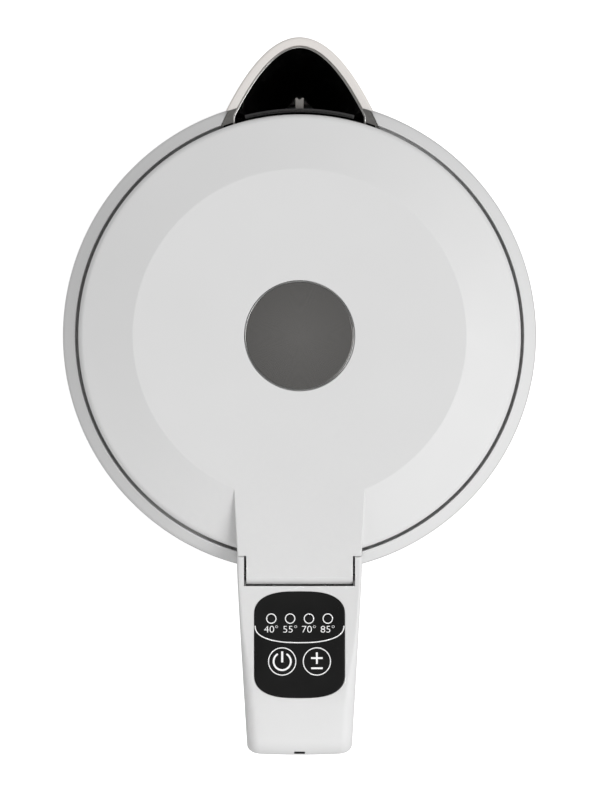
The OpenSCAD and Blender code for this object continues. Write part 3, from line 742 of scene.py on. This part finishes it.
def build_pot():
    """Deep drawn pot with a rolled flange, open towards the spout."""
    wall, corner, low, top = POT_WALL, POT_CORNER, POT_LOW.z, POT_HIGH.z
    profile = (
        [(0, low)]
        + arc((POT_R - corner, low + corner), corner, 270, 360, 12)
        + [(POT_R, top - wall - 0.6), (POT_R + 0.6, top - wall), (POT_HIGH.x, top - wall), (POT_HIGH.x, top)]
        + arc((POT_R + 0.6, top - 1.4), 1.4, 90, 180, 5)
        + arc((POT_R - corner, low + corner), corner - wall, 360, 270, 10)
        + [(0, low + wall)]
    )
    pot = turned("pot_shell", profile)
    cut(
        pot,
        block("mouth", (-18, 0, RIM_Z - 23), (18, 90, RIM_Z + 40)),
        prism("flange_gap", rim_outline(-0.2), top - wall - 0.5, top + 5),
        upright("sensor_hole", 2.6, low - 5, low + 10, (0, 30), 48),
    )
    place(pot, "jug", "pot_steel", "inner_pot")


def curved_block(name, r0, r1, low, high, half_angle, steps=24):
    """A block bent round the axis, facing the spout."""
    rings = []
    for i in range(steps + 1):
        a = math.radians(90 - half_angle + 2 * half_angle * i / steps)
        c, s = math.cos(a), math.sin(a)
        rings.append([(r * c, r * s, z) for r, z in ((r0, low), (r1, low), (r1, high), (r0, high))])
    return loft(name, rings)


def build_filter():
    """The filter behind the spout: a frame with a rib, a tab to pull, a bright lip and the mesh."""
    low, high = box_mm("filter_frame")
    inner, thick, half = FILTER_R, FILTER_T, FILTER_HALF_A
    bottom, top = low.z, high.z
    rim = curved_block("filter_rim", inner, inner + thick, bottom, top, half)
    cut(rim, curved_block("window", inner - 1, inner + 3, bottom + 3, top - 3.6, half - 2.2))
    add(rim, curved_block("rib", inner + 0.1, inner + 1.1, bottom + 2, top - 2.6, 1.2, 4))
    soften(rim, 0.2, 2, 50)
    place(rim, "jug", "black_plastic", "filter_frame")
    tab = curved_block("filter_tab", inner + thick, high.y, RIM_Z - 16, RIM_Z - 3.5, 1.0, 4)
    cut(tab, upright("notch", 0.7, RIM_Z - 20, RIM_Z, (0, high.y + 0.2), 24))
    soften(tab, 0.25, 2, 50)
    place(tab, "jug", "warm_plastic", look="tab_plastic")
    lip = curved_block("filter_lip", inner + 0.15, inner + 0.6, top - 0.4, top, half - 0.3)
    soften(lip, 0.15, 2, 50)
    place(lip, "jug", "small_steel")
    weave(inner + 0.63, bottom + 2.6, top - 3.2, half - 1.9)


def thread(points, radius, sides=5):
    """A thin round wire along points, as points and faces."""
    ring_points, faces = [], []
    for i, p in enumerate(points):
        a, b = points[max(i - 1, 0)], points[min(i + 1, len(points) - 1)]
        along = (Vector(b) - Vector(a)).normalized()
        side = along.orthogonal().normalized()
        up = along.cross(side)
        for j in range(sides):
            t = 2 * math.pi * j / sides
            ring_points.append(Vector(p) + radius * (math.cos(t) * side + math.sin(t) * up))
    for i in range(len(points) - 1):
        for j in range(sides):
            k = (j + 1) % sides
            faces.append((i * sides + j, i * sides + k, (i + 1) * sides + k, (i + 1) * sides + j))
    faces += [tuple(range(sides)), tuple(range(len(ring_points) - sides, len(ring_points)))]
    return ring_points, faces


def weave(radius, low, high, half_angle):
    """Woven steel mesh on a part of a cylinder."""
    pitch, wire_r = 1.0, 0.13
    columns = int(2 * math.radians(half_angle) * radius / pitch)
    rows = int((high - low) / pitch)
    points, faces = [], []

    def at(column, row, offset):
        a = math.radians(90 - half_angle) + 2 * math.radians(half_angle) * column / columns
        r = radius + offset
        return r * math.cos(a), r * math.sin(a), low + (high - low) * row / rows

    def over(column, row):
        return wire_r if (column + row) % 2 else -wire_r

    lines = [[at(c, r, over(c, r)) for r in range(rows + 1)] for c in range(columns + 1)]
    lines += [[at(c, r, -over(c, r)) for c in range(columns + 1)] for r in range(rows + 1)]
    for line in lines:
        more, more_faces = thread(line, wire_r)
        faces += [tuple(i + len(points) for i in face) for face in more_faces]
        points += more
    woven = piece("filter_weave", points, faces, 60)
    place(woven, "jug", "pot_steel", "filter_mesh", look="small_steel", even=False)


build_shell()
build_collar()
build_gap_shade_seal()
build_spout()
build_pot()
build_filter()


# ---------- handle ----------


def half_width(y):
    """Half width of the handle in plan, from the body to its end."""
    return float(np.interp(-y, [60, 78, 102.3, HANDLE_END], [20.5, 20.3, 18.95, 16.95]))


def along_line(a, b, steps):
    """Points from one point to another, without the last."""
    return [(a[0] + (b[0] - a[0]) * i / steps, a[1] + (b[1] - a[1]) * i / steps) for i in range(steps)]


def handle_stations(inset=0.0):
    """Pairs of points, on the handle's outside and in the finger gap, with the outer edge radius."""
    slope_top = arc((-115, TOP - 20), 20 - inset, 90, 105, 4)
    corner = arc((8.2 - HANDLE_END, TOP - 11.9), 8.2 - inset, 105, REAR_A, 10)
    low_corner = arc((25.5 - HANDLE_END, 66), 16 - inset, REAR_A, 275, 14)
    outer = along_line((ARM_Y, TOP - inset), slope_top[0], 10) + slope_top[:-1]
    outer += along_line(slope_top[-1], corner[0], 3) + corner[:-1] + along_line(corner[-1], low_corner[0], 12)
    low_root = (ARM_Y, HANDLE_LOW_Z + inset)
    outer += low_corner[:-1] + along_line(low_corner[-1], low_root, 8) + [low_root]
    high_gap = arc((-102.6, FINGER_HIGH - 9), 9 + inset, 90, REAR_A, 17)
    low_gap = arc((-95.4, FINGER_LOW + 12), 9 + inset, REAR_A, 268, 14)
    inner = along_line((ARM_Y, FINGER_HIGH + inset), high_gap[0], 10) + high_gap[:-1]
    inner += along_line(high_gap[-1], low_gap[0], 12) + low_gap[:-1]
    inner += along_line(low_gap[-1], (ARM_Y, FINGER_LOW - inset), 8) + [(ARM_Y, FINGER_LOW - inset)]
    radius = []
    for y, z in outer:
        on_top = z > (FINGER_LOW + TOP) / 2
        radius.append(float(np.interp(-y, [80, 96, 112, 124], [0.9, 1.2, 3.2, 4.2])) if on_top else 4.2)
    return outer, inner, radius


def handle_ring(out, into, outer_r, inner_r, narrow):
    """A rounded section between a point outside and one in the finger gap."""
    out, into = Vector(out), Vector(into)
    length = (into - out).length
    along = (into - out) / length

    def width(a):
        return half_width((out + along * a)[0]) - narrow

    def spot(a, x):
        """A point at a depth, drawn in towards the sides so that the end bows out."""
        y, z = out + along * a
        bow = END_BOW * max(0.0, along.x) * (x / width(0)) ** 2 * (1 - a / length)
        return (x, y + bow, z)

    steps = 7
    flat = width(outer_r) - outer_r
    side = [(0.0, flat * i / 4) for i in range(4)]
    for i in range(steps + 1):
        t = math.radians(90 * i / steps)
        a = outer_r * (1 - math.cos(t))
        side.append((a, width(outer_r) - outer_r * (1 - math.sin(t))))
    for i in range(1, 4):
        a = outer_r + (length - outer_r - inner_r) * i / 4
        side.append((a, width(a)))
    for i in range(steps + 1):
        t = math.radians(90 * i / steps)
        a = length - inner_r + inner_r * math.sin(t)
        side.append((a, width(length - inner_r) - inner_r * (1 - math.cos(t))))
    return [spot(a, x) for a, x in side] + [spot(a, -x) for a, x in reversed(side[1:])]


def handle_block(name, inset=0.0, first=0):
    """The whole handle as a loft, or its hollow where there is an inset."""
    outer, inner, radius = handle_stations(inset)
    rings = [
        handle_ring(o, i, max(r - inset, 0.3), max(GAP_EDGE_R - inset, 0.3), inset)
        for o, i, r in list(zip(outer, inner, radius))[first:]
    ]
    return loft(name, rings)


def finger_strip(name, low_d, high_d, narrow):
    """The layer of the handle next to the finger gap, between two depths."""
    near, far = handle_stations(low_d)[1], handle_stations(high_d)[1]
    rings = []
    for (y0, z0), (y1, z1) in zip(near, far):
        w = half_width(y0) - narrow
        rings.append([(w, y0, z0), (w, y1, z1), (-w, y1, z1), (-w, y0, z0)])
    return loft(name, rings)


def panel_outline(grow=0.0):
    """Plan of the control panel, a rounded oblong with bowed ends."""
    w = PANEL_HIGH.x + grow
    near, far = PANEL_SIDE_Y
    ends = (PANEL_HIGH.y + grow, PANEL_LOW.y - grow)
    across, along = 0.68, 0.91  # powers below 1 make the corners fuller
    outline = [(w, far), (w, near)]
    for start, end, a0 in ((near, ends[0], 0), (far, ends[1], 180)):
        for i in range(1, 24):
            a = math.radians(a0 + 7.5 * i)
            c, s = math.cos(a), abs(math.sin(a))
            outline.append((math.copysign(w * abs(c) ** across, c), start + (end - start) * s**along))
        if a0 == 0:
            outline += [(-w, near), (-w, far)]
    return outline


def build_handle():
    """The handle's shell, with the hinge's recess and cheeks and the panel's seat, and its cover."""
    shell = handle_block("handle_skin")
    cut(
        shell,
        handle_block("cavity", HANDLE_WALL, first=4),
        block("recess", (-RECESS_W, RECESS_Y, RECESS_Z), (RECESS_W, -45, TOP + 9)),
        block("window", (-11.5, -112, TOP - 20), (11.5, -87.5, TOP + 9)),
        prism("seat", panel_outline(0.1), TOP - PANEL_T, TOP + 5),
        hinge_rod(PIN_BORE_R, -RECESS_W - 1.5, RECESS_W + 1.5),
    )
    front = [(HINGE_Y, TOP + 5), (-50.0, TOP + 5), (-50.0, HINGE_Z - CHEEK_R)]
    front += arc((HINGE_Y, HINGE_Z), CHEEK_R, -90, 90, 32)
    cut(shell, prism("cheeks", front, -30, 30, axis="x"))
    cut(shell, body_solid(0.04), finger_strip("strip_room", -4.0, HANDLE_WALL + 0.08, HANDLE_WALL + 0.06))
    cut(shell, block("end_slot", (-1.75, 0.4 - HANDLE_END, TOP - 16), (1.75, 1.1 - HANDLE_END, TOP)))
    place(shell, "jug", "white_plastic", "handle_shell")
    strip = finger_strip("handle_grip", 0.0, HANDLE_WALL, HANDLE_WALL + 0.22)
    soften(strip, 0.3, 2, 60)
    cut(strip, body_solid(0.3))
    place(strip, "jug", "white_plastic", "handle_inner_cover")


build_handle()


# ---------- control panel ----------


def flat_ring(inner, outer, centre, start=0.0, end=360.0, steps=64):
    """A printed line along an arc, as a thin slab."""
    low = PRINT_TOP - PRINT_T
    whole = end - start >= 360
    count = steps if whole else steps + 1
    points = []
    for i in range(count):
        a = math.radians(start + (end - start) * i / steps)
        c, s = math.cos(a), math.sin(a)
        for r, z in ((inner, low), (outer, low), (outer, PRINT_TOP), (inner, PRINT_TOP)):
            points.append((centre[0] + r * c, centre[1] + r * s, z))
    faces = []
    for i in range(steps):
        here, there = 4 * i, 4 * ((i + 1) % count)
        faces += [(here + j, here + (j + 1) % 4, there + (j + 1) % 4, there + j) for j in range(4)]
    if not whole:
        faces += [(0, 1, 2, 3), tuple(4 * steps + j for j in range(4))]
    return piece("print", points, faces)


def bar(x0, x1, y0, y1):
    """A printed bar, as a thin slab."""
    return block("print", (x0, y0, PRINT_TOP - PRINT_T), (x1, y1, PRINT_TOP))


def divider():
    """A thin printed bow across the panel, between the lights and the buttons."""
    half, depth, top_y, power, half_line = PANEL_HIGH.x - 0.3, 5.5, -94.3, 2.4, 0.17
    steps = 64
    points = []
    for i in range(steps + 1):
        t = math.radians(90 - 180 * i / steps)
        x = half * math.copysign(abs(math.sin(t)) ** 0.8, t)
        y = top_y - depth * (1 - abs(x / half) ** power) ** (1 / power)
        points.append(Vector((x, y)))
    rings = []
    for i, p in enumerate(points):
        along = (points[min(i + 1, steps)] - points[max(i - 1, 0)]).normalized()
        side = Vector((-along.y, along.x)) * half_line
        low, high = PRINT_TOP - PRINT_T, PRINT_TOP
        a, b = p - side, p + side
        rings.append([(a.x, a.y, low), (b.x, b.y, low), (b.x, b.y, high), (a.x, a.y, high)])
    return loft("print", rings)


def label(text, x):
    """A generic numeral, printed on the panel below its light."""
    cap_height = 0.72  # of the letter size
    curve = bpy.data.curves.new("numeral", "FONT")
    curve.body = text
    curve.size = NUMERAL_H / cap_height * MM
    curve.align_x = curve.align_y = "CENTER"
    curve.extrude = PRINT_T / 2 * MM
    curve.offset = -0.03 * MM
    source = new_object("numeral", curve)
    mesh = bpy.data.meshes.new_from_object(source.evaluated_get(bpy.context.evaluated_depsgraph_get()))
    bpy.data.objects.remove(source)
    obj = new_object("numeral", mesh)
    spread = [v.co.x for v in mesh.vertices]
    wanted = NUMERAL_W * MM / (max(spread) - min(spread))
    mesh.transform(Matrix.Diagonal((wanted, 1, 1, 1)))
    return moved(obj, x, NUMERAL_Y, PRINT_TOP - PRINT_T / 2)


def build_panel():
    """The glossy plate with its holes, and everything printed on it."""
    plate = prism("panel_plate", panel_outline(), PANEL_LOW.z, PANEL_TOP)
    soften(plate, 0.25, 2, 60)
    for x in (-BUTTON_X, BUTTON_X):
        cut(plate, upright("hole", BUTTON_R + 0.07, TOP - 5, TOP + 5, (x, BUTTON_Y), 96))
    for x in LIGHT_XS:
        cut(plate, upright("hole", LIGHT_R + 0.05, TOP - 5, TOP + 5, (x, LIGHT_Y), 48))
    place(plate, "jug", "panel_black", "control_panel")
    prints = [flat_ring(1.37, 1.68, (x, LIGHT_Y)) for x in LIGHT_XS]
    prints.append(divider())
    prints += [label(text, x) for text, x in zip(("40°", "55°", "70°", "85°"), LIGHT_XS)]
    place(joined("panel_print", prints), "jug", "panel_black", look="panel_print", even=False)


def build_lights():
    """Four light pipes with domed ends."""
    low, high = box_mm("indicator_lights")
    pipes = []
    for x in LIGHT_XS:
        profile = [(0, low.z), (LIGHT_R, low.z), (LIGHT_R, high.z - 0.4)]
        profile += arc((LIGHT_R - 0.35, high.z - 0.4), 0.35, 0, 60, 3) + [(0, high.z - 0.02)]
        pipes.append(moved(turned("pipe", profile, 40), x, LIGHT_Y))
    place(joined("light_pipes", pipes), "jug", "light_lens", "indicator_lights")


def build_button(body, x, icon):
    """A button with its flange and stem, and the sign on it. It rides on a body of its own."""
    low, top = box_mm(body)[0], PANEL_TOP
    profile = [(0, low.z), (1.6, low.z), (1.6, TOP - 1.9)]
    profile += [(BUTTON_R - 1.1, TOP - 1.9), (BUTTON_R - 1.1, TOP - 3.4)]
    profile += [(BUTTON_R + 0.9, TOP - 3.4), (BUTTON_R + 0.9, TOP - 2.4), (BUTTON_R, TOP - 2.4)]
    profile += arc((BUTTON_R - 0.25, top - 0.25), 0.25, 0, 90, 5) + [(0, top)]
    cap = moved(turned(body + "_cap", profile, 96), x, BUTTON_Y)
    place(cap, body, "panel_black", body)
    ring = flat_ring(BUTTON_R - 0.38, BUTTON_R - 0.06, (x, BUTTON_Y))
    place(joined(body + "_icon", icon + [ring]), body, "panel_black", look="panel_print", even=False)


def power_icon(x):
    """An open ring with a bar in its opening."""
    return [flat_ring(2.5, 3.1, (x, BUTTON_Y), 120, 420), bar(x - 0.34, x + 0.34, -106.2, -102.6)]


def plus_minus_icon(x):
    """A plus over a minus. The plus is in three bars that don't overlap."""
    y, arm, half = -104.8, 1.9, 0.3
    return [
        bar(x - arm, x + arm, y - half, y + half),
        bar(x - half, x + half, y + half, y + arm),
        bar(x - half, x + half, y - arm, y - half),
        bar(x - arm, x + arm, -108.1 - half, -108.1 + half),
    ]


build_panel()
build_lights()
build_button("power_button", -BUTTON_X, power_icon(-BUTTON_X))
build_button("temp_button", BUTTON_X, plus_minus_icon(BUTTON_X))


# ---------- underside, socket and base ----------


def build_foot():
    """The jug's underside, with the opening for the connector and three screw bosses."""
    low, high = box_mm("foot_cover")
    z, r = low.z, high.x
    foot = turned(
        "jug_foot",
        [(20.5, z), (27, z), (27, z + 0.6), (60, z + 0.6), (60, z)]
        + arc((r - 1.6, z + 1.6), 1.6, 270, 360, 5)
        + [(r, high.z), (r - 1.8, high.z), (r - 1.8, z + 2.4), (26, z + 2.4), (26, 28), (20.5, 28)],
    )
    for at in spots(FOOT_SCREW_AT, (30, 150, 270)):
        add(foot, upright("boss", 4, z + 2.3, z + 7.3, at))
        cut(foot, upright("head_room", 3.2, z - 1, z + 2, at))
        cut(foot, upright("hole", 1.6, z - 1, z + 11, at))
    soften(foot, 0.2, 1, 60)
    place(foot, "jug", "black_plastic", "foot_cover")


def build_socket():
    """The connector half in the jug, with a ring slot over each contact ring of the base."""
    low, high = box_mm("socket_body")
    bore = 16.3
    socket = turned(
        "socket_block",
        [(0, 23.8), (bore, 23.8), (bore, low.z + 1), (bore + 1, low.z)]
        + arc((20 - 0.8, low.z + 0.8), 0.8, 270, 360, 4)
        + [(20, 30), (22.5, 30), (22.5, 32), (20, 32), (20, high.z - 0.5), (19.5, high.z), (0, high.z)],
        96,
    )
    cut(socket, upright("pin_room", 1.65, 20, 33))
    for r in CONTACT_R:
        cut(socket, turned("slot", [(r - 0.05, 20), (r + 0.75, 20), (r + 0.75, 33), (r - 0.05, 33)], 96))
    for y in (0.0, 7.6, 11.8):
        cut(socket, upright("tag_room", 0.85, 32.5, 38.5, (0, y), 24))
    place(socket, "socket", "black_plastic", "socket_body")


def build_base():
    """The power base: its two covers, the rubber ring and the inlet for a cord."""
    r, top = BASE_HIGH.x, BASE_HIGH.z
    edge, post = 5.0, 16.2
    cover = turned(
        "base_shell",
        [(post, top - 3), (post, top - 0.3), (post + 0.3, top), (28, top)]
        + [(28.6, top - 0.8), (r - 12.6, top - 0.8), (r - 12, top)]
        + arc((r - edge, top - edge), edge, 90, 0, 10)
        + [(r, BASE_LOW.z + 0.4), (r - 0.4, BASE_LOW.z), (r - 2.4, BASE_LOW.z)]
        + arc((r - edge, top - edge), edge - 2.4, 0, 90, 8)
        + [(24, top - 2.4), (24, top - 3)],
    )
    low, high = box_mm("base_bottom_cover")
    plate = turned(
        "base_plate",
        [(0, low.z), (RING_R[0] - 0.02, low.z), (RING_R[0] - 0.02, 3), (RING_R[1] + 0.02, 3)]
        + [(RING_R[1] + 0.02, low.z), (high.x - 0.5, low.z)]
        + [(high.x, low.z + 0.5), (high.x, high.z), (high.x - 1.8, high.z), (high.x - 1.8, 4), (0, 4)],
    )
    for at in spots(BASE_SCREW_AT, (90, 210, 330)):
        add(cover, upright("boss", 3.4, 7.2, top - 2.2, at))
        cut(cover, upright("hole", 1.2, 7, 13.5, at, 24))
        add(plate, upright("boss", 3.4, 3.5, 7, at))
        cut(plate, upright("head_room", 3, 1, 3.2, at))
        cut(plate, upright("hole", 1.5, 1, 9, at, 24))
    for part in (cover, plate):
        cut(part, rod("inlet_hole", 3.6, (0, -60, INLET_Z), (0, -100, INLET_Z), 48))
    place(cover, "base", "white_plastic", "base_top_cover")
    place(plate, "base", "white_plastic", "base_bottom_cover")
    high = box_mm("base_foot_ring")[1]
    ring = turned(
        "base_foot",
        arc((RING_R[0] + 0.6, 0.6), 0.6, 270, 180, 4)
        + [(RING_R[0], high.z), (RING_R[1], high.z)]
        + arc((RING_R[1] - 0.6, 0.6), 0.6, 0, -90, 4),
    )
    place(ring, "base", "grey_rubber", "base_foot_ring")
    flange = [(2.0, 6.5), (2.4, 6.0), (4.4, 6.0), (5.0, 5.4), (5.0, 4.2), (4.6, 3.8), (3.5, 3.8)]
    grommet = turned("cord_inlet", flange + [(3.5, -5.5), (2.0, -5.5)], 64)
    grommet.data.transform(Matrix.Rotation(math.pi / 2, 4, "X"))
    moved(grommet, y=box_mm("base_cord_inlet")[0].y + 6.5, z=INLET_Z)
    tidy(grommet)
    place(grommet, "base", "black_plastic", "base_cord_inlet")


def build_connector():
    """The round post that the jug stands on, with two deep ring slots and the pin's hole."""
    low, high = box_mm("base_connector")
    z, top = low.z, high.z
    post = turned(
        "connector_post",
        [(0, z), (20, z), (20, z + 2), (16, z + 2), (16, top - 0.8)]
        + arc((15.2, top - 0.8), 0.8, 0, 90, 4)
        + [(13.7, top), (13.4, top - 0.3), (13.4, 7), (11, 7), (11, top - 0.3), (10.7, top)]
        + [(8.9, top), (8.6, top - 0.3), (8.6, 7), (6, 7), (6, top - 0.3), (5.7, top)]
        + [(3.3, top), (3, top - 0.3), (3, 7), (0, 7)],
        96,
    )
    place(post, "base", "black_plastic", "base_connector")


build_foot()
build_socket()
build_base()
build_connector()


# ---------- stage, in metres ----------

AIM = (-0.5, -20.1)  # the point of the lid's plane, in millimetres, at the middle of the view
VIEW_WIDTH = 258.4  # of the lid's plane, in millimetres, along the sensor


def build_floor():
    """White paper, lit by itself so that it is white all over, and kept out of the kettle's light."""
    half = 9000
    corners = [(-half, -half, 0), (half, -half, 0), (half, half, 0), (-half, half, 0)]
    floor = piece("floor", corners, [(0, 1, 2, 3)])
    material, _, shader = new_material("floor_paper", (0.92, 0.92, 0.92), 0.9)
    shader.inputs["Specular IOR Level"].default_value = 0.1
    shader.inputs["Emission Color"].default_value = (1, 1, 1, 1)
    shader.inputs["Emission Strength"].default_value = 0.55
    floor.data.materials.append(material)
    floor.visible_diffuse = floor.visible_glossy = False


def area_light(name, place_at, aim, size, watts, spread=180):
    """A round soft light. The spread is in degrees."""
    light = bpy.data.lights.new(name, "AREA")
    light.spread = math.radians(spread)
    light.shape = "DISK"
    light.size = size
    light.energy = watts
    obj = new_object(name, light)
    obj.location = place_at
    obj.rotation_euler = (Vector(aim) - Vector(place_at)).to_track_quat("-Z", "Y").to_euler()
    obj.visible_camera = False


def build_world():
    """Pale near the horizon and darker overhead, so that steel facing up looks dark."""
    world = bpy.data.worlds.new("studio")
    bpy.context.scene.world = world
    world.use_nodes = True
    tree = world.node_tree
    direction = shader_node(tree, "TexCoord").outputs["Generated"]
    upward = shader_node(tree, "SeparateXYZ", Vector=direction).outputs["Z"]
    height = shader_node(tree, "MapRange", Value=upward, From_Min=-1.0)
    ramp = shader_node(tree, "ValToRGB", Fac=height.outputs["Result"])
    low, high = ramp.color_ramp.elements
    low.position, low.color = 0.0, (0.5, 0.5, 0.5, 1)
    high.position, high.color = 1.0, (0.2, 0.198, 0.195, 1)
    for position, value in ((0.5, 0.78), (0.88, 0.85)):
        ramp.color_ramp.elements.new(position).color = (value, value, value, 1)
    background = tree.nodes["Background"]
    tree.links.new(ramp.outputs["Color"], background.inputs["Color"])
    background.inputs["Strength"].default_value = 0.86


def build_camera():
    """Straight overhead on the kettle's axis, from far off, tilted a hair to frame the handle."""
    data = bpy.data.cameras.new("camera")
    data.lens = 1000.0
    distance = VIEW_WIDTH * MM * data.lens / data.sensor_width
    data.clip_start = 0.1
    data.clip_end = 30.0
    camera = new_object("camera", data)
    camera.location = (0, 0, TOP * MM + distance)
    camera.rotation_euler = (math.atan2(AIM[1] * MM, distance), math.atan2(-AIM[0] * MM, distance), 0)
    bpy.context.scene.camera = camera


build_floor()
build_world()
build_camera()
MIDDLE = (0, 0, 0.1)
area_light("key", (2.27, -0.7, 2.85), MIDDLE, 2.4, 79)
area_light("front", (0.3, -2.7, 1.7), MIDDLE, 1.2, 7)
area_light("fill", (-2.5, 1.5, 2.5), MIDDLE, 2.5, 10)
area_light("handle", (0.05, -1.0, 0.95), (0, -0.15, 0.2), 0.06, 0.004, spread=9)
bpy.context.scene.view_settings.view_transform = "Standard"
